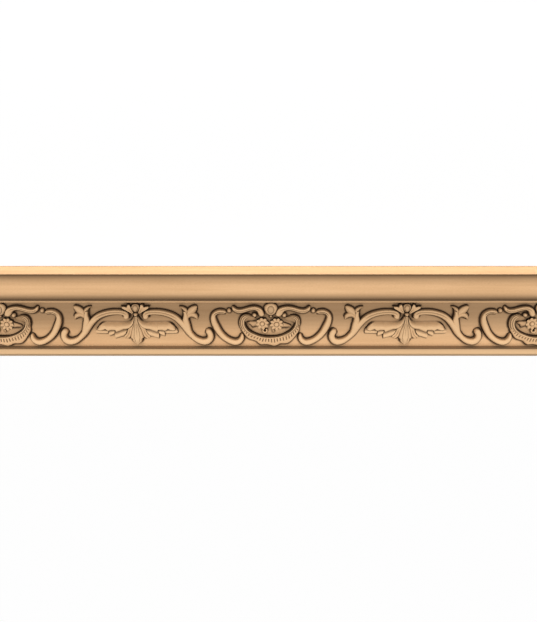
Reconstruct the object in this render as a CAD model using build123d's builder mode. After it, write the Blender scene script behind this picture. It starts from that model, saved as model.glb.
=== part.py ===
from build123d import *
from math import ceil
import os

# A carved wooden frieze moulding, lying on its flat back with the carving up.
# X runs along the stock, +Y is towards the crown edge, Z is the thickness.
# The origin is in the middle of the back.

# Stock
length = 1200.0
height = 105.0
thickness = 25.0

# Section, measured across the face from the crown edge down
crown_flat = 1.2
crown_width = 34.8
crown_drop = 14.0
fillet_width = 3.2
fillet_rise = 2.5
field_thickness = 8.0
foot_width = 11.7
foot_rise = 8.3
foot_bevel = 5.6

# Carving: its repeat along the stock, its lowest point above the foot, the
# turn of each flat on its round walls, and its heights above the field
repeat = 300.0
foot_gap = 2.2
skirt_reach = 38.6
root_depth = 0.6
facet_turn = 0.42
boss_sides = 10
band_rise = 6.6
leaf_rise = 4.2
lobe_rise = 3.2
heart_rise = 6.0
dish_rise = 3.6
rim_rise = 5.8
dish_floor = 1.0
flower_rise = 5.0
flower_eye_rise = 6.2
bead_rise = 5.0
bud_rise = 7.2

# Fine cuts: flutes on the basket's skirt and grooves in the palmette's leaf
flute_count = 21
flute_width = 0.9
flute_depth = 1.2
groove_width = 0.8
groove_depth = 1.4

# Places across the face that the carving is tied to
crown_edge_y = height / 2
crown_foot_y = crown_edge_y - crown_flat - crown_width
fillet_foot_y = crown_foot_y - fillet_width
foot_edge_y = -height / 2 + foot_width
crown_foot_z = thickness - crown_drop
crown_middle_y = crown_edge_y - crown_flat - crown_width / 2
fillet_z = field_thickness + fillet_rise
foot_z = field_thickness + foot_rise
root_z = field_thickness - root_depth
carving_y = foot_edge_y + foot_gap + skirt_reach


# A line through the points that follows the circle through each three of them
# in turn, in flats that each turn by about facet_turn.
def rounds(*points):
    corners = [points[0]]
    for start in range(0, len(points) - 2, 2):
        arc = ThreePointArc(*points[start:start + 3], mode=Mode.PRIVATE)
        count = ceil(arc.length / arc.radius / facet_turn)
        corners += [arc @ (step / count) for step in range(1, count)]
        corners.append(points[start + 2])
    Polyline(*corners)


# A flat-topped relief from its outline.
def relief(outline, rise):
    extrude(outline.moved(Location((0, 0, root_z))), amount=root_depth + rise)


# A round boss that narrows towards its top.
def boss(x, y, radius, rise):
    with BuildSketch(Plane.XY.offset(root_z)) as base:
        with Locations((x, y)):
            RegularPolygon(radius, boss_sides)
    with BuildSketch(Plane.XY.offset(field_thickness + rise)) as top:
        with Locations((x, y)):
            RegularPolygon(radius * 0.6, boss_sides)
    loft([base.sketch, top.sketch], ruled=True)


# C-scroll beside the basket: it starts in a blunt tip under the fillet, swells
# down its back and turns up again in a round end by the basket's skirt.
with BuildSketch() as c_outline:
    with BuildLine():
        rounds((-51.5, 5.7), (-56.0, 6.3), (-60.5, 5.6), (-65.4, 1.6), (-67.1, -5.0), (-61.0, -22.0),
             (-50.0, -33.2), (-39.5, -36.9), (-30.4, -28.0), (-32.3, -22.4), (-34.2, -25.5),
             (-38.0, -29.9), (-44.0, -29.2), (-54.6, -20.3), (-60.8, -6.5), (-61.8, -1.5),
             (-59.8, 1.2), (-55.0, 2.2), (-50.2, 1.4), (-50.6, 3.8), (-51.5, 5.7))
    make_face()

# Ribbon over the basket: a leaf end, a dip, and a thick round end that closes
# on the bud.
with BuildSketch() as ribbon_outline:
    with BuildLine():
        rounds((-43.2, 8.5), (-42.3, 10.6), (-40.5, 9.3), (-36.8, 6.9), (-32.0, 7.3))
        Line((-32.0, 7.3), (-25.5, 9.2))
        rounds((-25.5, 9.2), (-18.5, 10.4), (-12.0, 8.3), (-9.0, 5.2), (-7.8, 1.0), (-10.9, -1.6),
             (-13.9, 0.6), (-15.6, 4.6), (-19.5, 6.2), (-25.0, 5.1), (-30.0, 3.4), (-35.2, 2.4),
             (-40.3, 4.2), (-42.3, 6.0), (-43.2, 8.5))
    make_face()

with BuildPart() as scrolls:
    relief(c_outline.sketch, band_rise)
    relief(ribbon_outline.sketch, band_rise)
    mirror(about=Plane.YZ)
    for side in (-1, 1):
        boss(side * 46.5, 5.0, 2.0, bead_rise)

# Arm of the palmette: from a hooked end beside the ball it sweeps out and
# down into the large lower curl, with a sprig of leaves on its shoulder.
with BuildSketch() as arm_outline:
    with BuildLine():
        rounds((-11.0, -4.3), (-8.6, -2.8), (-8.0, 0.0), (-10.2, 4.6), (-16.0, 6.0), (-25.5, 6.2),
             (-35.0, 4.4), (-43.5, 0.9), (-50.8, -5.3))
        rounds((-50.8, -5.3), (-53.0, -0.4), (-52.9, 4.5), (-51.4, 7.9), (-48.3, 10.3))
        rounds((-48.3, 10.3), (-53.6, 9.2), (-57.5, 5.8))
        rounds((-57.5, 5.8), (-62.0, 9.7), (-68.2, 10.9))
        rounds((-68.2, 10.9), (-67.6, 6.2), (-65.2, 2.4))
        rounds((-65.2, 2.4), (-69.0, -1.0), (-68.2, -5.9))
        rounds((-68.2, -5.9), (-65.0, -3.4), (-61.2, -2.4), (-59.2, -3.6), (-58.3, -6.0),
             (-59.2, -16.0), (-64.0, -23.6), (-69.3, -27.6), (-75.5, -29.1), (-78.7, -27.8),
             (-78.9, -24.8), (-77.6, -22.4), (-77.1, -19.6), (-80.6, -16.7), (-84.0, -19.6),
             (-85.5, -25.0), (-84.6, -30.2), (-79.6, -35.9), (-71.5, -36.0), (-62.4, -30.3),
             (-55.0, -22.8))
        Line((-55.0, -22.8), (-48.5, -13.2))
        rounds((-48.5, -13.2), (-39.6, -4.2), (-28.0, 0.1), (-21.5, 0.9), (-15.8, 0.6),
             (-14.3, 0.2), (-13.6, -1.2), (-12.9, -3.3), (-11.0, -4.3))
    make_face()

with BuildPart() as arms:
    relief(arm_outline.sketch, band_rise)
    mirror(about=Plane.YZ)

# Palmette: side leaves that turn over towards a toothed lower edge, lobes and
# a strip that show from under them, a grooved leaf in the middle, two forked
# ears, a ball and a bead.
with BuildSketch() as wing_outline:
    with BuildLine():
        rounds((-2.4, -1.0), (-4.6, -6.4), (-10.0, -9.0), (-22.0, -8.6), (-34.0, -8.6), (-40.5, -11.0),
             (-42.3, -16.0))
        Polyline((-42.3, -16.0), (-41.0, -18.4), (-38.5, -17.8), (-36.5, -16.6), (-34.0, -16.6),
                 (-32.0, -18.6), (-30.5, -17.8), (-25.0, -17.8), (-23.5, -20.3))
        rounds((-23.5, -20.3), (-17.5, -18.5), (-10.5, -16.3), (-4.6, -11.0), (-2.4, -1.0))
    make_face()

with BuildSketch() as lobe_outline:
    with BuildLine():
        rounds((-41.0, -12.0), (-44.2, -15.3), (-45.4, -19.0))
        Polyline((-45.4, -19.0), (-44.6, -20.9), (-33.0, -20.9), (-30.8, -19.4), (-30.0, -25.0),
                 (-25.0, -22.8), (-23.0, -28.0))
        rounds((-23.0, -28.0), (-15.0, -24.7), (-10.3, -17.0))
        Polyline((-10.3, -17.0), (-12.0, -14.0), (-41.0, -12.0))
    make_face()

with BuildSketch() as heart_outline:
    with BuildLine():
        rounds((-1.8, 0.0), (-4.4, -11.6), (-10.2, -18.0))
        rounds((-10.2, -18.0), (-12.8, -23.4), (-14.0, -28.8))
        Polyline((-14.0, -28.8), (-10.0, -29.0), (-7.4, -26.0))
        rounds((-7.4, -26.0), (-5.4, -31.8), (0.0, -35.4), (5.4, -31.8), (7.4, -26.0))
        Polyline((7.4, -26.0), (10.0, -29.0), (14.0, -28.8))
        rounds((14.0, -28.8), (12.8, -23.4), (10.2, -18.0))
        rounds((10.2, -18.0), (4.4, -11.6), (1.8, 0.0))
        Line((1.8, 0.0), (-1.8, 0.0))
    make_face()

with BuildSketch() as ear_outline:
    with BuildLine():
        rounds((-15.2, 10.2), (-9.6, 5.2), (-2.8, 1.4), (-5.4, 6.0), (-6.8, 12.0))
        Polyline((-6.8, 12.0), (-8.8, 12.0), (-10.0, 10.3), (-15.2, 10.2))
    make_face()

with BuildPart() as palmette:
    relief(wing_outline.sketch, leaf_rise)
    relief(lobe_outline.sketch, lobe_rise)
    relief(ear_outline.sketch, leaf_rise)
    mirror(about=Plane.YZ)
    relief(heart_outline.sketch, heart_rise)
    boss(0, 8.2, 4.2, bud_rise)
    boss(0, 1.0, 2.3, bead_rise)
    heart_top = Plane.XY.offset(field_thickness + heart_rise - groove_depth)
    with BuildSketch(heart_top):
        for lean in (-20, -10, 0, 10, 20):
            with Locations(Location((0, 6, 0), lean)):
                with Locations((0, -28)):
                    Rectangle(groove_width, 20)
    extrude(amount=2 * groove_depth, mode=Mode.SUBTRACT)

# Basket: a dish with a rolled rim, a scalloped and fluted skirt, an opening
# with two flowers and their leaves in it, and the bud above.
with BuildSketch() as dish_outline:
    with BuildLine():
        rounds((-17.0, -2.2), (-22.0, -1.6), (-27.0, 0.8), (-33.8, -3.2), (-36.0, -10.0), (-34.6, -16.4),
             (-30.5, -21.5), (-28.0, -26.6), (-23.0, -30.0), (-16.8, -32.4), (-11.5, -36.6),
             (-7.2, -36.4), (-3.0, -36.8), (3.5, -38.6), (9.5, -35.5), (16.0, -35.2), (21.8, -32.6),
             (26.0, -27.4), (30.0, -21.0), (33.0, -10.0), (24.5, 0.0), (18.0, -1.4), (13.0, -2.2))
        Line((13.0, -2.2), (-17.0, -2.2))
    make_face()

with BuildSketch() as rim_outline:
    with BuildLine():
        rounds((-24.0, -0.4), (-30.0, 0.4), (-34.6, -5.0), (-34.8, -14.0), (-29.0, -22.0), (-17.0, -28.6),
             (-2.0, -31.0), (13.0, -28.6), (26.0, -21.5), (31.8, -12.0), (30.4, -3.6), (26.0, -0.8),
             (20.0, -1.4), (25.0, -3.6), (27.2, -8.0), (24.8, -16.0), (18.0, -21.6), (9.0, -25.6),
             (-2.0, -26.8), (-13.0, -25.2), (-22.6, -20.6), (-28.4, -14.6), (-29.8, -8.6),
             (-28.6, -4.0), (-24.0, -0.4))
    make_face()

with BuildSketch() as opening_outline:
    with BuildLine():
        rounds((-26.6, -8.6), (-28.2, -13.6), (-22.6, -20.0), (-13.0, -24.6), (-2.0, -26.0), (9.0, -24.8),
             (18.0, -20.8), (23.4, -15.6), (24.4, -9.6))
        Polyline((24.4, -9.6), (13.6, -10.0), (12.5, -3.4), (-14.6, -3.4), (-15.4, -8.0), (-26.6, -8.6))
    make_face()

with BuildPart() as basket:
    relief(dish_outline.sketch, dish_rise)
    relief(rim_outline.sketch, rim_rise)
    extrude(opening_outline.sketch.moved(Location((0, 0, field_thickness + dish_floor))),
            amount=rim_rise, mode=Mode.SUBTRACT)
    for x, y, radius in ((-9.7, -10.4, 6.3), (6.0, -11.4, 6.7)):
        with BuildSketch(Plane.XY.offset(root_z)):
            with Locations((x, y)):
                RegularPolygon(radius, 8)
                RegularPolygon(radius, 8, rotation=22.5)
        extrude(amount=root_depth + flower_rise)
        boss(x, y, 1.8, flower_eye_rise)
    boss(-6.6, -19.6, 2.2, dish_rise)
    with BuildSketch(Plane.XY.offset(root_z)):
        with BuildLine():
            rounds((-26.0, -9.6), (-21.0, -9.2), (-15.0, -9.6))
            rounds((-15.0, -9.6), (-20.0, -15.0), (-26.0, -9.6))
        make_face()
        with BuildLine():
            rounds((11.0, -10.0), (17.0, -11.0), (22.2, -14.0))
            rounds((22.2, -14.0), (16.0, -15.8), (11.0, -15.0))
            Line((11.0, -15.0), (11.0, -10.0))
        make_face()
    extrude(amount=root_depth + dish_rise)
    boss(-18.4, -0.2, 2.3, bead_rise)
    boss(14.4, -0.4, 2.3, bead_rise)
    boss(-0.4, 7.0, 6.9, bud_rise)
    boss(-0.4, -1.4, 1.8, bead_rise)
    flute_top = Plane.XY.offset(field_thickness + dish_rise)
    with BuildSketch(flute_top):
        with Locations((-2.0, 14.0)):
            with PolarLocations(45.6, flute_count, start_angle=238, angular_range=64):
                Rectangle(3.6, flute_width)
    extrude(amount=-flute_depth, mode=Mode.SUBTRACT)

# The run of stock with its section, and the carving repeated along it.
with BuildPart() as moulding:
    with BuildSketch(Plane.YZ.offset(-length / 2)):
        with BuildLine():
            Polyline((crown_edge_y - crown_flat, thickness), (crown_edge_y, thickness), (crown_edge_y, 0),
                     (-height / 2, 0), (-height / 2, foot_z - foot_bevel),
                     (-height / 2 + foot_bevel, foot_z), (foot_edge_y, foot_z),
                     (foot_edge_y, field_thickness), (fillet_foot_y, field_thickness),
                     (fillet_foot_y, fillet_z), (crown_foot_y, fillet_z), (crown_foot_y, crown_foot_z))
            EllipticalCenterArc((crown_middle_y, crown_foot_z), crown_width / 2, crown_drop / 2,
                                start_angle=90, arc_size=90)
            EllipticalCenterArc((crown_middle_y, thickness), crown_width / 2, crown_drop / 2,
                                start_angle=270, arc_size=90)
        make_face()
    extrude(amount=length)
    repeats = int(round(length / repeat))
    first = -repeats * repeat / 2
    leaf_places = [Location((first + (step + 0.5) * repeat, carving_y, 0)) for step in range(repeats)]
    basket_places = [Location((first + step * repeat, carving_y, 0)) for step in range(repeats + 1)]
    carving = [solid.moved(place) for solid in (palmette.part, arms.part) for place in leaf_places]
    carving += [solid.moved(place) for solid in (basket.part, scrolls.part) for place in basket_places]
    add(carving, clean=False)
    split(bisect_by=Plane.YZ.offset(length / 2), keep=Keep.BOTTOM)
    split(bisect_by=Plane.YZ.offset(-length / 2), keep=Keep.TOP)

moulding.part.label = "frieze_moulding"
os.makedirs("parts", exist_ok=True)
export_step(moulding.part, "parts/frieze_moulding.step")
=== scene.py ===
import math

import bmesh
import bpy
import numpy as np
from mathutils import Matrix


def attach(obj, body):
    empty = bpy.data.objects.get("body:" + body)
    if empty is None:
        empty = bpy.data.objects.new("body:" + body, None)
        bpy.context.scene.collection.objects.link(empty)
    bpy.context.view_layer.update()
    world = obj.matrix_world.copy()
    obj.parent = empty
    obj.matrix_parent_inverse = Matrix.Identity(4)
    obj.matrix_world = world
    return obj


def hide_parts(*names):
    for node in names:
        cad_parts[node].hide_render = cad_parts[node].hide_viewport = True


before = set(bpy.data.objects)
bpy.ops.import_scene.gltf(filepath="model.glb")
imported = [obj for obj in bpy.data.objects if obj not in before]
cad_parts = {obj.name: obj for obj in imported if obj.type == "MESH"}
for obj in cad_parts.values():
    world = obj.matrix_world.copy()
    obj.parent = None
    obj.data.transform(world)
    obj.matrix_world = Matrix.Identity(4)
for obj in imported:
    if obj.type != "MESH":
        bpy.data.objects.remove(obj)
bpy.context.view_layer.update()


# The board: one length of planed hardwood, run past a cutter that gives it a flat edge at the top,
# the ogee crown, a fillet, the flat ground of the carving, and the raised foot with its bevel.
# Every shape below is in millimetres, and becomes metres when its mesh is made.
LENGTH = 1200.0
REPEAT = 300.0
EDGE = 52.5
THICK = 25.0
CROWN_START = 51.3
CROWN_HALF_WIDTH = 17.4
CROWN_HALF_DROP = 7.0
FILLET_END = 13.3
FILLET_TOP = 10.5
GROUND = 8.0
FOOT_START = -40.8
FOOT_TOP = 16.3


def board_section():
    """The section as y and z, from the top arris down the face to the foot and round the back.

    The crown is two quarter ellipses: z falls by the sine of the angle while y goes by one less
    its cosine, first hollow and then full. With each point comes its share of painted shade, which
    grows from the crown's middle to both its ends, and which also darkens the top arris, the
    corners at the fillet and the foot, the foot's wall and top, and its bevel.
    """
    turn = np.linspace(0.0, math.pi / 2, 25)
    ease = np.linspace(0.0, math.pi / 2, 5)

    def eased(y, z, radius):
        """An edge at y, z that faces the crown's side, sanded to a quarter circle."""
        return np.stack([y - radius * (1 - np.cos(ease)), z - radius * (1 - np.sin(ease))], 1)

    hollow = np.stack([CROWN_START - CROWN_HALF_WIDTH * (1 - np.cos(turn)),
                       THICK - CROWN_HALF_DROP * np.sin(turn)], 1)
    full = np.stack([CROWN_START - CROWN_HALF_WIDTH * (1 + np.sin(turn)),
                     THICK - CROWN_HALF_DROP * (2 - np.cos(turn))], 1)
    fillet = np.stack([FILLET_END + 0.5 * (1 - np.sin(ease)),
                       FILLET_TOP - 0.5 * (1 - np.cos(ease))], 1)
    # Each run's second item is its share of painted shade.
    runs = [
        ([(EDGE, 0.0), (EDGE, 12.0)], 0.0),
        (eased(EDGE, THICK, 0.4), np.linspace(0.1, 0.9, 5)),
        (hollow, 0.80 * np.cos(turn) ** 1.8),
        (full[1:], 0.86 * step(0.27, 1.0, np.sin(turn[1:]))),
        ([(16.5, FILLET_TOP), (15.9, FILLET_TOP), (15.2, FILLET_TOP), (14.4, FILLET_TOP)],
         [1.0, 0.86, 0.45, 0.25]),
        (fillet, 0.0),
        ([(FILLET_END, GROUND + 0.4), (12.9, GROUND), (-40.2, GROUND)], [0.4, 0.0, 0.0]),
        ([(-40.6, GROUND), (FOOT_START, GROUND + 0.3)], [0.16, 0.58]),
        (eased(FOOT_START, FOOT_TOP, 0.6), np.linspace(0.70, 0.32, 5)),
        ([(-42.6, FOOT_TOP), (-44.6, FOOT_TOP), (-46.8, FOOT_TOP)], [0.15, 0.10, 0.0]),
        ([(-47.2, 16.0), (-52.1, 10.9), (-EDGE, 10.2), (-EDGE, 0.0)], [0.35, 0.35, 0.35, 0.0])]
    tone = [np.broadcast_to(share, len(run)) for run, share in runs]
    return np.concatenate([run for run, share in runs]), np.concatenate(tone)


def step(low, high, value):
    """0 up to low, 1 from high, and a smooth cubic between."""
    share = np.clip((value - low) / (high - low), 0.0, 1.0)
    return share * share * (3 - 2 * share)


HAIR = 0.000015             # metres
SHARP = math.radians(42)


def shell_mesh(name, shells, place=0.0, cut=None):
    """One mesh from closed shells of rings, each an array of rings by points by x, y, z.

    Each point of a ring is joined to the next and to its twin on the next ring, and the first and
    last rings are closed by a face each. cut drops what lies past the board's end; there each
    shell stops a hair before the one it was carved from, so that no two cut faces coincide.
    """
    points, faces, shade_values, layer = [], [], [], []
    start = 0
    for number, (rings, shade) in enumerate(shells):
        count, around = rings.shape[:2]
        index = start + np.arange(count * around).reshape(count, around)
        after = np.roll(index, -1, axis=1)
        faces += np.stack([index[:-1], after[:-1], after[1:], index[1:]], 2).reshape(-1, 4).tolist()
        faces += [index[0, ::-1].tolist(), index[-1].tolist()]
        points.append(rings.reshape(-1, 3))
        shade_values.append(np.broadcast_to(shade, (count, around)).reshape(-1))
        layer.append(np.full(count * around, number + 1.0))
        start += count * around
    points = np.concatenate(points) + np.array([place, 0.0, 0.0])
    mesh = bpy.data.meshes.new(name)
    mesh.from_pydata((points * 0.001).tolist(), [], faces)
    # Each point's share of painted shade goes to the mesh as an attribute.
    for key, value in (("painted_shade", shade_values), ("layer", layer)):
        data = mesh.attributes.new(key, "FLOAT", "POINT").data
        data.foreach_set("value", np.concatenate(value).astype(np.float32))
    work = bmesh.new()
    work.from_mesh(mesh)
    if cut is not None:
        parts = work.verts[:] + work.edges[:] + work.faces[:]
        bmesh.ops.bisect_plane(work, geom=parts, plane_co=(cut, 0, 0), clear_outer=True,
                               plane_no=(math.copysign(1, cut), 0, 0))
        bmesh.ops.holes_fill(work, edges=[e for e in work.edges if e.is_boundary])
    bmesh.ops.recalc_face_normals(work, faces=work.faces[:])
    work.to_mesh(mesh)
    work.free()
    if cut is not None:
        vertices = np.empty(3 * len(mesh.vertices), np.float32)
        order = np.empty(len(mesh.vertices), np.float32)
        mesh.vertices.foreach_get("co", vertices)
        mesh.attributes["layer"].data.foreach_get("value", order)
        at_cut = np.abs(vertices[0::3] - cut) < 1e-6
        vertices[0::3] -= math.copysign(HAIR, cut) * order * at_cut
        mesh.vertices.foreach_set("co", vertices)
    mesh.attributes.remove(mesh.attributes["layer"])
    mesh.polygons.foreach_set("use_smooth", np.ones(len(mesh.polygons), bool))
    mesh.set_sharp_from_angle(angle=SHARP)
    piece = bpy.data.objects.new(name, mesh)
    bpy.context.scene.collection.objects.link(piece)
    return piece


class Lead:
    """An output of a node, so that shader maths can be written as an expression."""

    def __init__(self, shader, socket):
        self.shader, self.socket = shader, socket

    def maths(self, operation, first, second):
        return self.shader.node("ShaderNodeMath", {"operation": operation}, {0: first, 1: second})

    def __add__(self, other):
        return self.maths("ADD", self, other)

    __radd__ = __add__

    def __sub__(self, other):
        return self.maths("SUBTRACT", self, other)

    def __rsub__(self, other):
        return self.maths("SUBTRACT", other, self)

    def __mul__(self, other):
        return self.maths("MULTIPLY", self, other)

    __rmul__ = __mul__


class Shader:
    """The nodes of a material, or of the world."""

    def __init__(self, owner):
        owner.use_nodes = True
        self.tree = owner.node_tree
        self.tree.nodes.clear()

    def node(self, kind, settings=None, inputs=None, output=0):
        """Make one node: its type, its settings, then the values or links of its sockets."""
        item = self.tree.nodes.new(kind)
        for key, value in (settings or {}).items():
            setattr(item, key, value)
        for key, value in (inputs or {}).items():
            if isinstance(value, Lead):
                self.tree.links.new(value.socket, item.inputs[key])
            else:
                item.inputs[key].default_value = value
        return Lead(self, item.outputs[output]) if len(item.outputs) else None

    def blend(self, share, first, second):
        """Mix two colours by a share of the second."""
        return self.node("ShaderNodeMix", {"data_type": "RGBA"},
                         {0: share, 6: first, 7: second}, output=2)


def sRGB(red, green, blue):
    """A colour as it is seen on a screen, 0 to 255, as the linear colour that a node takes."""
    part = np.array([red, green, blue]) / 255.0
    low, high = part / 12.92, ((part + 0.055) / 1.055) ** 2.4
    return tuple(np.where(part <= 0.04045, low, high)) + (1.0,)


WOOD = sRGB(233, 189, 142)
WOOD_DARK = sRGB(211, 167, 121)
# The colour of the painted highlight on the raised carving.
PAINTED_HIGHLIGHT = sRGB(247, 206, 158)
WOOD_SAWN = sRGB(205, 160, 113)
WOOD_RING = sRGB(168, 122, 80)
# The colour of the painted shadow that darkens the ground towards the crown.
PAINTED_SHADOW = sRGB(60, 44, 28)
# The colour of the painted shade in corners, creases, grooves and nooks.
PAINTED_SHADE_BROWN = sRGB(36, 21, 9)

# Where each part of the colour starts and ends, the painted shadow, highlight and shade as well as
# the end grain: as y, z or the distance from the middle, in metres, and as the open share of the
# sky for the painted shade in the nooks.
SHADOW_SPAN = (-0.042, 0.008)
CROWN_FOOT = (0.0128, 0.0136)
ON_GROUND = (0.0085, 0.0135)
HIGHLIGHT_SPAN = (0.0105, 0.0145)
BY_LEDGE = (-0.0416, -0.0384)
END_GRAIN = (0.59960, 0.59968)
NOOK = (0.80, 0.28)
NOOK_REACH = 0.0062

carved_wood = bpy.data.materials.new("carved_wood")
wood = Shader(carved_wood)
spot = wood.node("ShaderNodeTexCoord", output="Object")
y_place = wood.node("ShaderNodeSeparateXYZ", None, {0: spot}, output="Y")
z_place = wood.node("ShaderNodeSeparateXYZ", None, {0: spot}, output="Z")
x_place = wood.node("ShaderNodeSeparateXYZ", None, {0: spot}, output="X")

streak_at = wood.node("ShaderNodeMapping", None, {0: spot, "Scale": (6.0, 130.0, 90.0)})
streak = wood.node("ShaderNodeTexNoise", None,
                   {"Vector": streak_at, "Scale": 1.6, "Detail": 5.0, "Roughness": 0.6})
cloud_at = wood.node("ShaderNodeMapping", None, {0: spot, "Scale": (5.0, 22.0, 22.0)})
cloud = wood.node("ShaderNodeTexNoise", None, {"Vector": cloud_at, "Scale": 1.2, "Detail": 2.0})
pore_at = wood.node("ShaderNodeMapping", None, {0: spot, "Scale": (420.0, 1500.0, 1500.0)})
pore = wood.node("ShaderNodeTexNoise", None, {"Vector": pore_at, "Scale": 1.0, "Detail": 2.0})
grain = wood.node("ShaderNodeMapRange", None,
                  {0: streak * 0.4 + cloud * 0.3 + pore * 0.3, 1: 0.34, 2: 0.66, 3: 0.0, 4: 1.0})
planed = wood.blend(grain, WOOD_DARK, WOOD)

# Painted shadow: the ground darkens towards the crown as if in its shade, and the carving on it
# less so.
shadow_by_crown = wood.node("ShaderNodeMapRange", {"interpolation_type": "SMOOTHERSTEP"},
                   {0: y_place, 1: SHADOW_SPAN[0], 2: SHADOW_SPAN[1], 3: 0.0, 4: 0.58})
below_crown = wood.node("ShaderNodeMapRange", None,
                        {0: y_place, 1: CROWN_FOOT[0], 2: CROWN_FOOT[1], 3: 1.0, 4: 0.0})
on_ground = wood.node("ShaderNodeMapRange", None,
                      {0: z_place, 1: ON_GROUND[0], 2: ON_GROUND[1], 3: 1.0, 4: 0.35})
# Painted highlight: the carving that stands high, below the crown, is lighter.
raised = wood.node("ShaderNodeMapRange", None,
                   {0: z_place, 1: HIGHLIGHT_SPAN[0], 2: HIGHLIGHT_SPAN[1], 3: 0.0, 4: 0.5})
highlit_wood = wood.blend(raised * below_crown, planed, PAINTED_HIGHLIGHT)
shadowed_wood = wood.blend(shadow_by_crown * below_crown * on_ground, highlit_wood, PAINTED_SHADOW)

# Painted shade: darker in the corners, creases and grooves by the shares carried on the meshes, and
# in the nooks that see little of the sky, a third as much on the foot and its ledge.
painted_shade = wood.node("ShaderNodeAttribute", {"attribute_name": "painted_shade"}, output="Fac")
open_sky = wood.node("ShaderNodeAmbientOcclusion", {"samples": 12}, {"Distance": NOOK_REACH},
                     output="AO")
nook_shade = wood.node("ShaderNodeMapRange", None,
                    {0: open_sky, 1: NOOK[0], 2: NOOK[1], 3: 0.0, 4: 0.95})
by_ledge = wood.node("ShaderNodeMapRange", None,
                     {0: y_place, 1: BY_LEDGE[0], 2: BY_LEDGE[1], 3: 0.35, 4: 1.0})
shaded_wood = wood.blend(nook_shade * by_ledge, wood.blend(painted_shade, shadowed_wood, PAINTED_SHADE_BROWN), PAINTED_SHADE_BROWN)

from_middle = wood.node("ShaderNodeMath", {"operation": "ABSOLUTE"}, {0: x_place})
sawn = wood.node("ShaderNodeMapRange", None,
                 {0: from_middle, 1: END_GRAIN[0], 2: END_GRAIN[1], 3: 0.0, 4: 1.0})
ring_at = wood.node("ShaderNodeMapping", None,
                    {0: spot, "Rotation": (0.12, 0.0, 0.0), "Scale": (1.0, 14.0, 360.0)})
year = wood.node("ShaderNodeTexNoise", None, {"Vector": ring_at, "Scale": 1.0, "Detail": 2.0})
year_share = wood.node("ShaderNodeMapRange", None, {0: year, 1: 0.38, 2: 0.62, 3: 0.0, 4: 1.0})
coloured = wood.blend(sawn, shaded_wood, wood.blend(year_share, WOOD_RING, WOOD_SAWN))

relief = wood.node("ShaderNodeBump", None, {"Strength": 0.12, "Distance": 0.0004,
                                            "Height": pore * 0.5 + streak * 0.5})
dullness = wood.node("ShaderNodeMapRange", None, {0: streak, 1: 0.2, 2: 0.8, 3: 0.74, 4: 0.62})
skin = wood.node("ShaderNodeBsdfPrincipled", None, {"Base Color": coloured, "Roughness": dullness,
                                                    "Normal": relief, "Specular IOR Level": 0.1})
wood.node("ShaderNodeOutputMaterial", None, {0: skin})


def carved(name, shells, place=0.0, cut=None):
    """Mesh one piece of the carving, with its wood, and say what it stands for."""
    piece = shell_mesh(name, shells, place, cut)
    piece.data.materials.append(carved_wood)
    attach(piece, "root")
    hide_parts("frieze_moulding")


section, section_shade = board_section()
board_ends = np.empty((2, len(section), 3))
board_ends[:, :, 0] = np.array([[-LENGTH / 2], [LENGTH / 2]])
board_ends[:, :, 1:] = section
carved("board", [(board_ends, section_shade)])

# The C scrolls: a pair stands round each basket, left full by the carver and grooved along the
# back of its upper end. Like all the carving they are cut from the board itself.

# Each shell of the carving starts below the ground, at SINK, and its walls lean out by DRAFT. The
# corner round its foot, darkened with painted shade, reaches CORNER out, and lies SLIP of that
# nearer to the board's foot. The motifs' lines are drawn from CARVING_Y. Last come the shares of
# painted shade on the corner's four rings, from its foot out.
SINK = -0.8
DRAFT = 0.7
CORNER = 2.0
SLIP = 0.35
CARVING_Y = -1.2
CORNER_SHADE = np.array([0.2, 0.6, 0.95, 1.0])


def thread(points, count):
    """A smooth line through the points, at count even shares of its chords.

    Between two points it is the cubic whose slopes at both are the weighted mean of the
    slopes to their neighbours.
    """
    points = np.asarray(points, float)
    gap = np.linalg.norm(np.diff(points, axis=0), axis=1)
    knot = np.concatenate([[0.0], np.cumsum(gap)])
    slope = np.diff(points, axis=0) / gap[:, None]
    mean = (slope[:-1] * gap[1:, None] + slope[1:] * gap[:-1, None]) / (gap[1:] + gap[:-1])[:, None]
    tangent = np.concatenate([slope[:1], mean, slope[-1:]])
    at = np.linspace(0.0, knot[-1], count)
    i = np.clip(np.searchsorted(knot, at, side="right") - 1, 0, len(gap) - 1)
    h = gap[i][:, None]
    u = (at - knot[i])[:, None] / h
    return ((2 * u**3 - 3 * u**2 + 1) * points[i] + (u**3 - 2 * u**2 + u) * h * tangent[i]
            + (3 * u**2 - 2 * u**3) * points[i + 1] + (u**3 - u**2) * h * tangent[i + 1])


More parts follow.
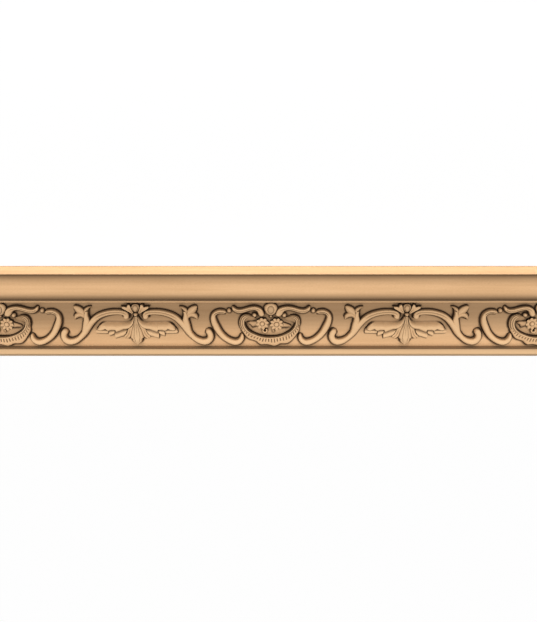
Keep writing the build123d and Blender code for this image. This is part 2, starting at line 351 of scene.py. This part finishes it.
def strap(stations, height, count=90, across=17, draft=DRAFT, shade=None, lean=0.0, corner_shade=1.0):
    """A carved strap or leaf, ruled between two edges that run through the stations.

    A station is a point of one edge and its mate on the other. Across it, w goes from 0 to 1,
    closer set near the edges; its height above the ground is height(s, w), s along it from 0 to 1.
    lean lifts the edge that faces the crown and lowers the other, by the share of the outward
    direction along y. A wall with a draft drops from each edge into a small corner, darkened with
    painted shade by the share given; the face gets painted shade in a thin line along both edges,
    and where shade(s, w) says. Both get smaller where the strap is narrow.
    """
    edges = thread(stations, count)
    one, other = edges[:, None, :2], edges[:, None, 2:]
    s = np.linspace(0.0, 1.0, count)[:, None]
    w = (1 - np.cos(np.linspace(0.0, math.pi, across)))[None, :] / 2
    width = np.linalg.norm(other - one, axis=2, keepdims=True)
    out = (one - other) / np.maximum(width, 0.05)
    top = height(s, w) + lean * out[..., 1] * (1 - 2 * w) * np.abs(1 - 2 * w)
    spread = np.minimum(draft, 0.3 * width + 0.2)
    narrow = np.clip(0.12 + width / 3.6, 0, 1)
    face = np.concatenate([one * (1 - w[..., None]) + other * w[..., None], top[..., None]], 2)

    def wall(edge, side, level, outward, corner=0.0):
        place = edge + out * side * (spread * outward + narrow * corner)
        place = place + np.array([0.0, -SLIP]) * narrow * corner
        return np.concatenate([place, level[..., None]], 2)

    first, last = top[:, :1], top[:, -1:]
    flat = np.ones_like(first)
    corner = [(SINK, CORNER), (0.03, CORNER), (0.10, 0.6 * CORNER), (0.22, 0.25 * CORNER)]
    rows = [wall(one, 1, level * flat, 1.0, reach) for level, reach in corner]
    rows += [wall(one, 1, first * 0.30 + 0.2, 0.8), face, wall(other, -1, last * 0.30 + 0.2, 0.8)]
    rows += [wall(other, -1, level * flat, 1.0, reach) for level, reach in corner[::-1]]
    rings = np.concatenate(rows, 1)
    rings += np.array([0.0, CARVING_Y, GROUND])
    tone = np.zeros(rings.shape[:2])
    # Painted shade: in the corners at both feet, by the share given, along both edges of the face,
    # and in the face's hollows.
    share = corner_shade(s) if callable(corner_shade) else corner_shade
    tone[:, 1:5] = share * CORNER_SHADE
    tone[:, -5:-1] = share * CORNER_SHADE[::-1]
    tone[:, 5:-5] = 0.40 * step(0.92, 1.0, np.abs(2 * w - 1))
    if shade is not None:
        tone[:, 5:-5] = np.maximum(tone[:, 5:-5], shade(s, w))
    return rings, tone


def mirrored(shell):
    """The same shell on the other side of its motif's middle."""
    rings, tone = shell
    return rings * np.array([-1.0, 1.0, 1.0]), tone


def tube(rise, edge):
    """A height that goes from edge at both walls up to rise, as a superellipse of w."""
    return lambda s, w: edge + (rise - edge) * (1 - np.abs(2 * w - 1) ** 2.5) ** (1 / 2.5)


def ends_eased(s, reach=0.06):
    """1 along the strap, and falling to two thirds at its two ends."""
    return 0.66 + 0.34 * step(0.0, reach, s) * step(0.0, reach, 1 - s)


def scroll_groove(s, w):
    """1 in the short groove along the back of the upper end, and 0 beside it."""
    return np.exp(-((w - 0.50) / 0.09) ** 2) * step(0.02, 0.06, s) * (1 - step(0.14, 0.26, s))


def scroll_height(s, w):
    """The scroll is a full tube, less its groove, eased at both ends."""
    return (tube(6.6, 2.4)(s, w) - 1.3 * scroll_groove(s, w)) * ends_eased(s)


def scroll_shade(s, w):
    """Painted shade in the groove."""
    return 0.30 * scroll_groove(s, w)


SCROLL = [
    (-49.9, 3.9, -49.9, 3.1), (-50.6, 4.9, -50.4, 2.3), (-51.8, 5.6, -51.4, 2.0),
    (-53.8, 6.1, -53.0, 2.0), (-58.0, 6.2, -57.0, 2.1), (-62.2, 4.6, -60.2, 0.9),
    (-65.4, 1.6, -61.6, -1.2), (-67.0, -3.2, -61.4, -4.0), (-66.8, -8.5, -60.6, -7.0),
    (-65.0, -14.5, -58.4, -12.2), (-61.0, -22.0, -54.8, -19.6), (-55.8, -28.6, -51.2, -24.2),
    (-50.0, -33.2, -47.6, -27.4), (-44.8, -35.9, -43.8, -29.3), (-39.5, -36.9, -39.8, -30.2),
    (-34.2, -34.8, -37.0, -29.4), (-31.2, -31.0, -35.2, -27.4), (-30.4, -27.4, -34.2, -25.3),
    (-31.0, -24.0, -33.4, -23.6), (-32.2, -22.5, -32.6, -22.6)]
scroll = strap(SCROLL, scroll_height, count=150, shade=scroll_shade, lean=0.9)

# The ribbons: one each side of the bud, waved out from behind it to the bead by the scroll.
RIBBON = [
    (-43.0, 10.5, -43.3, 10.1), (-42.2, 10.3, -43.3, 8.4), (-41.0, 9.6, -42.5, 6.4),
    (-38.6, 7.7, -40.3, 4.2), (-36.0, 6.9, -37.2, 2.7), (-32.0, 7.3, -33.0, 2.6),
    (-28.5, 8.3, -29.0, 3.6), (-25.5, 9.2, -25.0, 5.1), (-21.5, 10.1, -21.5, 5.9),
    (-17.5, 10.3, -18.6, 6.1), (-13.8, 9.3, -16.6, 5.3), (-11.0, 7.6, -15.3, 3.8),
    (-9.1, 5.2, -14.6, 2.0), (-8.2, 2.6, -13.8, 0.4), (-7.9, 0.8, -12.2, -1.2),
    (-9.0, -0.9, -10.6, -1.5)]


def ribbon_fold(s, w):
    """1 in the fold that runs along the ribbon's back, and 0 beside it."""
    return np.exp(-((w - 0.44) / 0.085) ** 2) * step(0.06, 0.16, s) * (1 - step(0.74, 0.90, s))


def ribbon_height(s, w):
    """The ribbon is a flatter tube, less its fold, eased at both ends."""
    return (tube(6.2, 2.8)(s, w) - 1.0 * ribbon_fold(s, w)) * ends_eased(s)


def ribbon_shade(s, w):
    """Painted shade in the fold."""
    return 0.42 * ribbon_fold(s, w)


ribbon = strap(RIBBON, ribbon_height, count=110, shade=ribbon_shade, lean=0.9)


def closer(shell):
    """The right ribbon, whose thick end is carved 3 mm nearer to the bud than the left one's."""
    rings, tone = shell
    near = 1 - step(8.0, 22.0, rings[..., :1])
    return rings - near * np.array([3.0, 0.0, 0.0]), tone


def knob(x, y, wide, high, rise, around=40, rings=9, corner_shade=1.0):
    """A round boss: rings that shrink by the cosine of a turn while they rise by its sine."""
    angle = np.linspace(0.0, 2 * math.pi, around, endpoint=False)[None, :]
    turn = np.linspace(0.0, math.pi / 2 * 0.97, rings)[:, None]
    share = np.concatenate([np.ones((5, 1)), np.cos(turn)])
    corner = np.array([1.0, 1.0, 0.6, 0.25] + [0.0] * (rings + 1))[:, None] * CORNER
    foot = [[SINK], [0.03], [0.10], [0.22], [0.28 * rise]]
    level = np.concatenate([foot, 0.3 * rise + 0.7 * rise * np.sin(turn)])
    shell = np.stack([x + (wide * share + corner) * np.cos(angle),
                      y + (high * share + corner) * np.sin(angle) - SLIP * corner + CARVING_Y,
                      GROUND + level * np.ones_like(angle)], 2)
    tone = np.zeros(shell.shape[:2])
    # Painted shade in the corner round the boss's foot.
    tone[1:5] = corner_shade * CORNER_SHADE[:, None]
    return shell, tone


def faceted(x, y, wide, high, rise, narrow, facet, crease):
    """A knob that is narrower below by a share, with an oval facet between creases in its crown."""
    shell, tone = knob(x, y, wide, high, rise, around=72, rings=18)
    across, along = shell[:, :, 0] - x, shell[:, :, 1] - y - CARVING_Y
    shell[:, :, 0] += narrow * across * np.clip(along / high, -1, 0.4)
    away = np.hypot(across[5:] / (facet * wide), along[5:] / (facet * 1.35 * high))
    ring = np.exp(-((away - 1) / 0.16) ** 2)
    shell[5:, :, 2] -= crease * ring
    # Painted shade in the crease round the facet, and a little over the facet inside it.
    tone[5:] = np.maximum(0.62 * ring, 0.22 * (1 - step(0.8, 1.0, away)))
    return shell, tone


# The arms: from a small hook beside the palmette's heart each arm sweeps out and down, turns back
# up in a wide hook, and sends up a sprig of three small leaves.
ARM = [
    (-10.7, -4.9, -11.6, -4.7), (-8.9, -4.1, -13.0, -3.7), (-7.7, -2.3, -13.9, -2.0),
    (-7.6, 0.3, -14.0, -0.5), (-8.7, 2.9, -14.9, 0.5), (-11.6, 5.1, -17.6, 0.8),
    (-16.0, 6.0, -20.4, 0.9), (-20.7, 6.3, -24.2, 0.6), (-25.5, 6.2, -28.0, 0.1),
    (-30.6, 5.5, -32.2, -0.9), (-35.0, 4.4, -36.0, -2.3), (-39.4, 2.9, -39.6, -4.2),
    (-43.5, 0.9, -43.2, -7.0), (-47.4, -2.0, -46.2, -10.2), (-50.8, -5.3, -49.2, -14.0),
    (-54.2, -9.4, -52.0, -18.2), (-57.6, -13.8, -55.0, -22.8), (-60.6, -19.0, -58.6, -26.8),
    (-64.0, -23.6, -62.4, -30.3), (-66.8, -26.4, -66.8, -33.8), (-70.2, -28.2, -71.5, -36.0),
    (-73.4, -29.0, -76.2, -36.7), (-76.0, -28.9, -80.6, -35.2), (-78.0, -28.0, -83.6, -32.2),
    (-78.9, -26.0, -85.3, -28.2), (-78.6, -24.0, -85.4, -24.0), (-77.7, -22.4, -84.2, -20.0),
    (-77.0, -20.8, -81.8, -17.2), (-77.1, -19.0, -79.4, -16.9), (-77.5, -17.9, -78.4, -17.2)]
STALK = [
    (-62.2, -21.4, -56.6, -18.0), (-61.2, -19.0, -54.8, -15.0), (-60.5, -16.4, -53.2, -12.0),
    (-60.0, -13.6, -52.0, -9.4), (-59.4, -10.4, -51.4, -7.0), (-58.4, -6.4, -51.9, -4.0),
    (-57.8, -2.0, -52.9, -0.4), (-57.0, 1.5, -53.0, 2.4), (-56.3, 4.4, -52.6, 5.2)]
SPRIG = [
    [(-57.6, 4.6, -54.5, 1.5), (-56.6, 6.8, -53.4, 4.0), (-54.6, 8.5, -52.4, 6.2),
     (-52.0, 9.7, -51.2, 8.0), (-49.9, 10.2, -49.8, 9.4), (-48.4, 10.4, -48.4, 10.2)],
    [(-68.1, 10.8, -68.3, 10.5), (-66.4, 10.9, -68.0, 8.2), (-63.6, 10.3, -67.2, 5.6),
     (-60.6, 8.8, -65.6, 3.0), (-58.2, 6.6, -62.6, 0.6), (-56.6, 4.4, -59.6, -1.0),
     (-55.5, 2.0, -57.5, -2.0)],
    [(-68.4, -5.2, -68.0, -5.9), (-68.6, -3.0, -66.6, -4.4), (-68.0, -0.4, -64.6, -3.2),
     (-66.4, 1.4, -62.6, -2.5), (-64.0, 2.6, -60.8, -2.4), (-60.5, 2.8, -59.0, -3.4),
     (-57.0, 2.0, -57.5, -5.0)]]


def arm_groove(s, w):
    """1 in the groove that runs from the small hook along the arm's back, and 0 beside it."""
    return np.exp(-((w - 0.36) / 0.075) ** 2) * step(0.03, 0.08, s) * (1 - step(0.34, 0.48, s))


def arm_height(s, w):
    """The arm is a full tube, less its groove, eased close to both ends."""
    return (tube(6.6, 2.4)(s, w) - 1.2 * arm_groove(s, w)) * ends_eased(s, 0.03)


def arm_shade(s, w):
    """Painted shade in the groove."""
    return 0.32 * arm_groove(s, w)


def sprig_height(s, w):
    """A sprig's leaf rises from both edges to its rib, by the root of the way there."""
    return 2.6 + 2.6 * np.sqrt(1 - np.abs(2 * w - 1))


arm = strap(ARM, arm_height, count=170, shade=arm_shade, lean=0.9)
stalk = strap(STALK, tube(6.3, 2.8), count=50)
sprig = [strap(leaf, sprig_height, count=50, across=15) for leaf in SPRIG]

# The palmette: a veined heart leaf under a ball and a bead, with two forked ears at its neck and a
# pair of acanthus wings, each with a toothed lower edge and three lobes that show from under it.
WING = [
    (-2.2, -1.6, -1.7, -2.0), (-3.2, -3.6, -2.3, -5.0), (-4.6, -6.2, -3.4, -9.0),
    (-7.0, -8.4, -5.2, -12.4), (-10.0, -9.3, -8.0, -14.9), (-13.0, -9.6, -11.2, -16.0),
    (-16.5, -9.7, -14.4, -16.3), (-19.0, -9.7, -17.4, -17.6), (-21.0, -9.6, -20.4, -18.8),
    (-22.8, -9.6, -23.0, -19.6), (-24.0, -9.6, -23.8, -17.8), (-26.0, -9.5, -25.4, -17.5),
    (-29.0, -9.4, -29.0, -17.6), (-31.4, -9.4, -31.6, -18.5), (-33.4, -9.5, -33.2, -17.8),
    (-35.2, -9.8, -34.6, -16.4), (-37.4, -10.4, -36.4, -17.0), (-39.4, -11.6, -38.4, -17.9),
    (-41.2, -13.2, -40.6, -18.0), (-42.5, -14.9, -42.0, -17.4), (-43.2, -16.1, -42.8, -16.7)]
LOBES = [
    [(-45.0, -17.0, -45.8, -19.4), (-43.9, -16.2, -45.1, -21.0), (-42.2, -15.8, -43.0, -21.5),
     (-40.4, -16.2, -40.2, -21.6), (-36.6, -16.0, -36.6, -21.6), (-33.6, -16.6, -33.4, -21.5),
     (-31.8, -18.0, -31.6, -20.4)],
    [(-30.9, -17.0, -31.0, -20.4), (-30.5, -16.6, -31.2, -22.4), (-30.0, -16.6, -31.0, -24.6),
     (-28.8, -16.6, -29.0, -24.2), (-27.2, -16.6, -27.0, -23.2), (-25.6, -16.6, -25.2, -22.0),
     (-24.6, -17.4, -24.7, -20.2)],
    [(-24.4, -19.2, -24.5, -21.6), (-23.6, -19.8, -24.7, -24.6), (-22.4, -19.4, -24.2, -27.4),
     (-20.6, -18.8, -22.0, -27.0), (-19.0, -18.2, -20.0, -26.4), (-17.2, -17.5, -18.0, -25.6),
     (-15.0, -16.5, -15.6, -25.0), (-13.0, -16.0, -13.2, -22.9), (-11.4, -15.9, -11.6, -20.0),
     (-10.6, -15.9, -10.8, -16.9)]]
EAR = [
    (-3.9, 1.8, -14.4, 8.9), (-3.7, 2.0, -14.8, 10.0), (-3.5, 2.2, -12.0, 10.4),
    (-3.4, 2.4, -9.3, 9.9), (-3.3, 2.5, -8.7, 11.6), (-3.2, 2.6, -7.6, 12.7),
    (-3.0, 2.7, -6.3, 12.6), (-2.8, 2.8, -5.7, 10.2)]
CORE = [
    (1.5, -0.7), (1.6, -1.8), (1.8, -4.0), (2.1, -7.0), (2.7, -10.0), (3.6, -13.0), (4.8, -16.0),
    (5.8, -19.0), (6.4, -22.0), (7.0, -25.0), (7.3, -27.2), (6.0, -28.3), (5.4, -29.4),
    (5.3, -31.0), (4.6, -32.6), (2.9, -34.3), (1.2, -35.4), (0.3, -35.8)]
SIDE_LEAF = [
    (-1.7, -3.0, -1.0, -3.4), (-2.6, -6.4, -1.4, -7.0), (-3.8, -10.0, -2.2, -10.6),
    (-5.8, -13.0, -3.4, -14.5), (-8.4, -15.6, -4.2, -17.8), (-10.0, -17.6, -5.0, -20.8),
    (-10.8, -20.4, -5.7, -23.4), (-12.3, -23.4, -6.4, -25.8), (-14.4, -25.6, -8.6, -28.2),
    (-14.3, -27.2, -11.0, -29.0), (-13.6, -28.4, -12.6, -29.1)]


def wing_ends(s):
    """1 at the wing's neck and tip, where its upper edge stands clear, and 0 along its middle."""
    return 1 - step(0.12, 0.26, s) * (1 - step(0.74, 0.90, s))


def wing_height(s, w):
    """The wing rises softly from the ground, but at its ends from a wall, to a full lower edge."""
    foot = 0.2 + 3.6 * wing_ends(s)
    swell = np.sin(math.pi / 2 * np.clip(w / 0.66, 0, 1)) ** 1.2
    return foot + (6.3 - foot) * swell - 0.9 * step(0.86, 1.0, w)


def lobe_height(s, w):
    """A lobe lies low under the wing's edge and rolls up to its own."""
    return 3.5 + 1.8 * step(0.25, 0.65, w) - 0.7 * step(0.88, 1.0, w)


def lobe_shade(s, w):
    """Painted shadow of the wing's edge, along the top of each lobe."""
    return 0.6 * (1 - step(0.26, 0.46, w))


def ear_height(s, w):
    """An ear falls from its rim to its neck, with a shallow crease between its two points."""
    return 4.4 + 1.0 * step(0.1, 0.9, w) - 0.5 * np.exp(-((s - 0.52) / 0.06) ** 2)


def veins(s, w):
    """1 in the three creases that run down the heart leaf from its neck, and 0 between them."""
    middle = np.exp(-((w - 0.5) / 0.045) ** 2) * (1 - step(0.52, 0.70, s))
    sides = np.exp(-((np.abs(w - 0.5) - 0.23) / 0.03) ** 2)
    sides = sides * step(0.15, 0.30, s) * (1 - step(0.80, 0.95, s))
    return 0.8 * middle + sides


def core_height(s, w):
    """The heart leaf is full across, less its three creases, and drops towards its tip."""
    swell = np.sqrt(np.clip(1 - (2 * w - 1) ** 4, 0, 1))
    return (3.4 + 3.0 * swell - 0.6 * veins(s, w)) * (1 - 0.30 * step(0.75, 1.0, s))


def side_leaf_height(s, w):
    """A side leaf is full across, creased along its outer half, and drops towards its tip."""
    crease = np.exp(-((w - 0.42) / 0.10) ** 2) * step(0.45, 0.65, s)
    return 4.4 - 1.2 * s + 0.8 * np.sin(math.pi * w) - 0.8 * crease - 1.2 * step(0.80, 1.0, w)


def side_leaf_shade(s, w):
    """Painted shade in the crease, and along the inner edge beside the heart leaf."""
    crease = np.exp(-((w - 0.42) / 0.08) ** 2) * step(0.45, 0.65, s)
    return np.maximum(0.32 * crease, 0.55 * step(0.80, 1.0, w))


wing = strap(WING, wing_height, count=160, across=19, corner_shade=lambda s: 0.3 + 0.7 * wing_ends(s))
lobes = [strap(lobe, lobe_height, count=60, across=15, shade=lobe_shade) for lobe in LOBES]
ear = strap(EAR, ear_height, count=60, across=13)
# The heart leaf gets a little painted shade all over, and more in its creases.
core = strap([(-wide, y, wide, y) for wide, y in CORE], core_height, count=80, across=41,
             shade=lambda s, w: 0.08 + 0.34 * veins(s, w))
side_leaf = strap(SIDE_LEAF, side_leaf_height, count=80, across=17, shade=side_leaf_shade)
ball = faceted(0.0, 8.0, 4.6, 5.0, 6.8, 0.36, 0.60, 1.1)
bead = knob(0.0, 1.2, 2.3, 1.8, 7.8, corner_shade=0.6)
side = [arm, stalk] + sprig + lobes + [wing, side_leaf, ear]
palmette = side + [mirrored(shell) for shell in side] + [core, ball, bead]
for number in range(4):
    carved("palmette_%d" % (number + 1), palmette, (number - 1.5) * REPEAT)

# The basket: a shallow dish with a turned rim, grooved round its sides, and a short fluted skirt
# with a waved lower edge. Two flowers, a leaf at each side and a curl lie in it, and a bud stands
# on top, between two small knobs.
RIM = [
    (-22.5, -1.0, -23.0, -1.8), (-26.0, 0.6, -25.2, -2.2), (-30.0, 0.4, -27.4, -3.0),
    (-33.0, -2.0, -28.8, -4.6), (-34.8, -6.0, -29.6, -7.0), (-35.2, -10.5, -29.5, -10.4),
    (-34.2, -15.0, -28.2, -14.2), (-31.4, -19.0, -25.6, -17.8), (-27.4, -22.2, -22.2, -20.6),
    (-22.6, -25.0, -18.0, -23.0), (-16.6, -27.2, -13.0, -25.0), (-9.6, -28.5, -7.8, -26.3),
    (-2.0, -29.0, -2.0, -26.8), (6.0, -28.4, 4.0, -26.4), (13.0, -26.8, 9.0, -25.4),
    (19.4, -24.4, 14.0, -23.6), (24.6, -21.4, 18.0, -21.2), (28.8, -17.4, 22.4, -18.0),
    (31.2, -13.0, 25.4, -14.0), (31.8, -8.6, 27.0, -9.6), (30.8, -4.0, 27.0, -6.0),
    (28.4, -1.4, 25.6, -4.0), (24.6, -0.6, 23.0, -3.0), (21.0, -1.2, 20.6, -2.4)]
SKIRT = [
    (-31.2, -14.6, -32.4, -15.4), (-30.3, -16.0, -32.9, -18.2), (-28.5, -18.0, -31.2, -21.6),
    (-26.5, -20.0, -29.2, -24.8), (-24.0, -22.0, -27.0, -27.6), (-20.0, -24.0, -23.4, -29.9),
    (-16.5, -25.6, -19.6, -31.1), (-13.5, -26.4, -16.6, -32.5), (-11.0, -27.0, -14.0, -35.0),
    (-8.6, -27.4, -11.4, -36.6), (-5.8, -27.6, -7.6, -36.4), (-3.0, -27.8, -3.6, -36.6),
    (-0.5, -27.8, -0.4, -37.6), (2.5, -27.6, 3.5, -38.6), (5.5, -27.4, 7.0, -37.4),
    (8.5, -27.0, 9.8, -35.6), (11.5, -26.4, 13.0, -35.2), (14.5, -25.4, 16.4, -35.2),
    (17.5, -24.2, 19.6, -34.2), (20.0, -23.0, 22.0, -32.4), (22.4, -21.6, 24.2, -30.0),
    (24.6, -19.8, 26.2, -27.2), (26.4, -18.0, 28.4, -24.0), (28.0, -16.0, 30.4, -20.4),
    (29.4, -13.8, 31.4, -17.4), (30.4, -12.2, 31.4, -13.8)]


def rim_sides(s):
    """1 at the rim's two sides, which are grooved, and 0 along its plain front."""
    return 1 - step(0.27, 0.36, s) * (1 - step(0.64, 0.73, s))


def rim_lines(s, w):
    """1 in the grooves that run along the rim's sides, and 0 on the ridges between them."""
    return (0.5 - 0.5 * np.cos(2 * math.pi * 2.6 * w)) ** 2 * rim_sides(s)


def rim_height(s, w):
    """The rim rises from the dish to a full outer edge, less its grooves."""
    return (4.4 + 2.2 * step(0.0, 0.75, w) - 0.7 * rim_lines(s, w)) * ends_eased(s)


def rim_shade(s, w):
    """Painted shade in the grooves."""
    return 0.80 * rim_lines(s, w)


FLUTES = 23


def fluting(s, w):
    """0 on the smooth of the skirt, and 1 in the bottom of each of its short flutes."""
    flute = (0.5 - 0.5 * np.cos(2 * math.pi * FLUTES * s)) ** 2.6
    return flute * step(0.05, 0.11, w) * (1 - step(0.50, 0.60, w))


def skirt_height(s, w):
    """The skirt falls by the square of the way down, less its flutes, to an eased lower edge."""
    return 5.4 - 1.9 * w ** 2 - 0.9 * fluting(s, w) - 0.6 * step(0.9, 1.0, w)


def skirt_shade(s, w):
    """Painted shade in the flutes."""
    return 0.72 * fluting(s, w)


FLAP_LEFT = [
    (-30.4, -8.0, -27.4, -9.2), (-28.8, -4.0, -24.5, -8.6), (-26.0, -1.6, -21.0, -8.4),
    (-22.6, -1.2, -17.6, -7.2), (-20.4, -2.0, -16.6, -5.4)]
FLAP_RIGHT = [
    (28.0, -9.0, 25.0, -10.0), (27.4, -4.4, 22.6, -9.4), (24.2, -1.8, 18.4, -8.6),
    (21.0, -1.6, 15.4, -6.6), (18.6, -2.2, 14.4, -4.6)]
LEAF_LEFT = [
    (-26.6, -9.6, -26.4, -10.2), (-24.0, -8.9, -23.6, -11.6), (-21.0, -8.8, -21.0, -14.6),
    (-18.0, -8.8, -18.6, -14.2), (-15.0, -8.4, -15.4, -13.0), (-11.0, -8.4, -11.0, -12.0)]
LEAF_RIGHT = [
    (22.4, -13.8, 22.2, -14.4), (19.4, -12.4, 18.8, -14.9), (16.0, -11.2, 16.0, -15.2),
    (12.0, -10.0, 12.0, -15.4), (8.0, -9.6, 8.0, -14.0)]


def flap_height(s, w):
    """A flap falls from the rim's end until it dies into the ground inside the dish."""
    return 0.3 + 3.4 * (1 - w) ** 0.8


def flap_shade(s, w):
    """A thin painted shade, with a darker line of painted shade close to the rim."""
    return 0.10 + 0.45 * np.exp(-((w - 0.12) / 0.10) ** 2)


def leaf_height(s, w):
    """A leaf rises evenly from both edges to its rib."""
    return 2.0 + 2.0 * (1 - np.abs(2 * w - 1))


def flower(x, y, radius, petals, turn):
    """A flower seen from the front: pointed petals, creased between, round a boss.

    Along the rim the reach falls evenly from each petal's point to the crease beside it.
    """
    angle = np.linspace(0.0, 2 * math.pi, petals * 14, endpoint=False)[None, :]
    share = np.array([1.0, 0.99, 0.97, 0.90, 0.80, 0.70, 0.60, 0.50, 0.44, 0.40, 0.36, 0.32, 0.28,
                      0.20, 0.10])[:, None]
    point = 1 - np.abs(((angle + turn) * petals / (2 * math.pi)) % 1.0 * 2 - 1)
    reach = radius * (0.81 + 0.22 * point)
    outer = radius * 0.4 + (reach - radius * 0.4) * (share - 0.4) / 0.6
    size = np.where(share > 0.4, outer, radius * share)
    petal = 3.9 + 0.9 * point ** 0.5 * step(0.4, 0.7, share) + 0.9 * (1 - step(0.4, 0.95, share))
    boss = 4.3 + 2.7 * np.sqrt(np.clip(1 - (share / 0.36) ** 2, 0, 1))
    level = np.where(share > 0.38, petal, boss)
    row = np.arange(len(share))[:, None]
    level = np.where(row == 0, SINK, level)
    shell = np.stack([x + size * np.cos(angle), y + size * np.sin(angle) + CARVING_Y,
                      GROUND + level], 2)
    # Painted shade in a ring round the boss, in the creases between the petals near the rim, and at
    # the foot.
    round_boss = np.where((share > 0.34) & (share < 0.45), 0.30, 0.0)
    tone = round_boss + 0.60 * (1 - point) ** 3 * step(0.66, 0.9, share)
    return shell, np.where(row < 2, 1.0, np.clip(tone, 0, 1))


bud = faceted(-0.4, 6.8, 7.3, 7.2, 7.0, 0.16, 0.46, 0.9)
curl_turn = np.radians(np.linspace(55.0, -225.0, 11))
curl_at = np.stack([np.cos(curl_turn), np.sin(curl_turn)], 1)
curl_middle = np.array([-7.0, -19.0])
curl = strap(np.concatenate([curl_middle + 3.2 * curl_at, curl_middle + 1.2 * curl_at], 1),
             tube(4.2, 2.2), count=50, across=11, draft=0.3, corner_shade=0.5)
dish = [strap(SKIRT, skirt_height, count=FLUTES * 12 + 1, across=25, shade=skirt_shade),
        strap(RIM, rim_height, count=180, across=33, shade=rim_shade)]
dish += [strap(flap, flap_height, count=30, shade=flap_shade, corner_shade=0.22)
         for flap in (FLAP_LEFT, FLAP_RIGHT)]
basket = dish + [
    strap(LEAF_LEFT, leaf_height, count=40), strap(LEAF_RIGHT, leaf_height, count=40),
    flower(-9.9, -10.2, 7.2, 8, 0.2), flower(6.0, -11.0, 7.6, 9, 0.5), curl,
    knob(2.4, -19.6, 1.3, 1.9, 3.0, corner_shade=0.5), knob(-18.4, -0.2, 2.5, 2.5, 5.4),
    knob(14.4, -0.4, 2.5, 2.5, 5.4), bud, knob(-0.4, -1.4, 1.6, 1.6, 5.0)]
scroll_bead = knob(-46.5, 5.0, 2.4, 2.4, 5.0)
left_side = [scroll, ribbon, scroll_bead]
right_side = [mirrored(scroll), closer(mirrored(ribbon)), mirrored(scroll_bead)]
for number in range(5):
    middle = (number - 2) * REPEAT
    if number == 0:
        carved("basket_1", basket + right_side, middle, -LENGTH / 2000)
    elif number == 4:
        carved("basket_5", basket + left_side, middle, LENGTH / 2000)
    else:
        carved("basket_%d" % (number + 1), basket + left_side + right_side, middle)


# The room: a plain pale floor under the board, which lies on its flat back, soft light from
# above and a low light that only the board's top edge catches.
def seen_directly(shader):
    """1 for rays from the camera, or that reach a surface by a mirror or through glass."""
    path = {key: shader.node("ShaderNodeLightPath", output=key)
            for key in ("Is Camera Ray", "Is Glossy Ray", "Is Transmission Ray")}
    mirror = shader.node("ShaderNodeMath", {"operation": "MAXIMUM"},
                         {0: path["Is Glossy Ray"], 1: path["Is Transmission Ray"]})
    return shader.node("ShaderNodeMath", {"operation": "MAXIMUM"},
                       {0: path["Is Camera Ray"], 1: mirror})


WHITE = (1.0, 1.0, 1.0, 1.0)
floor_paint = bpy.data.materials.new("floor_paint")
paint = Shader(floor_paint)
matt = paint.node("ShaderNodeBsdfDiffuse", None, {"Color": (0.9, 0.9, 0.9, 1.0)})
bright = paint.node("ShaderNodeEmission", None, {"Color": WHITE, "Strength": 1.0})
painted = paint.node("ShaderNodeMixShader", None,
                     {0: seen_directly(paint) * 0.85, 1: matt, 2: bright})
paint.node("ShaderNodeOutputMaterial", None, {0: painted})
floor_mesh = bpy.data.meshes.new("floor")
floor_mesh.from_pydata([(-6, -6, 0), (6, -6, 0), (6, 6, 0), (-6, 6, 0)], [], [(0, 1, 2, 3)])
floor = bpy.data.objects.new("floor", floor_mesh)
bpy.context.scene.collection.objects.link(floor)
floor.data.materials.append(floor_paint)

bpy.context.scene.world = bpy.data.worlds.new("room")
room = Shader(bpy.context.scene.world)
soft = room.node("ShaderNodeBackground", None, {"Color": WHITE, "Strength": 0.18})
backdrop = room.node("ShaderNodeBackground", None, {"Color": WHITE, "Strength": 1.0})
around_it = room.node("ShaderNodeMixShader", None,
                      {0: seen_directly(room), 1: soft, 2: backdrop})
room.node("ShaderNodeOutputWorld", None, {0: around_it})

sun = bpy.data.lights.new("key", "SUN")
sun.energy = 2.8
sun.angle = math.radians(28)
key = bpy.data.objects.new("key", sun)
key.rotation_euler = (math.radians(-16), 0.0, 0.0)
bpy.context.scene.collection.objects.link(key)

strip = bpy.data.lights.new("edge_light", "AREA")
strip.shape = "RECTANGLE"
strip.size = 1.8
strip.size_y = 0.05
strip.energy = 5.0
edge_light = bpy.data.objects.new("edge_light", strip)
edge_light.location = (0.0, 0.65, 0.035)
edge_light.rotation_euler = (math.radians(-90), 0.0, 0.0)
bpy.context.scene.collection.objects.link(edge_light)

# The camera stands over the board's top edge and looks down on its face.
# Its focal length is given in pixels of a picture as tall as PICTURE_TALL.
TILT = math.radians(23.8)
DISTANCE = 0.925
AIM = (-0.0030, 0.00215, 0.008)
FOCAL = 833
PICTURE_TALL = 622
lens = bpy.data.cameras.new("camera")
lens.sensor_width = 36.0
lens.lens = 36.0 * FOCAL / PICTURE_TALL
camera = bpy.data.objects.new("camera", lens)
camera.location = (AIM[0], AIM[1] + DISTANCE * math.sin(TILT),
                   AIM[2] + DISTANCE * math.cos(TILT))
camera.rotation_euler = (-TILT, 0.0, 0.0)
bpy.context.scene.collection.objects.link(camera)
bpy.context.scene.camera = camera
bpy.context.scene.view_settings.view_transform = "Standard"
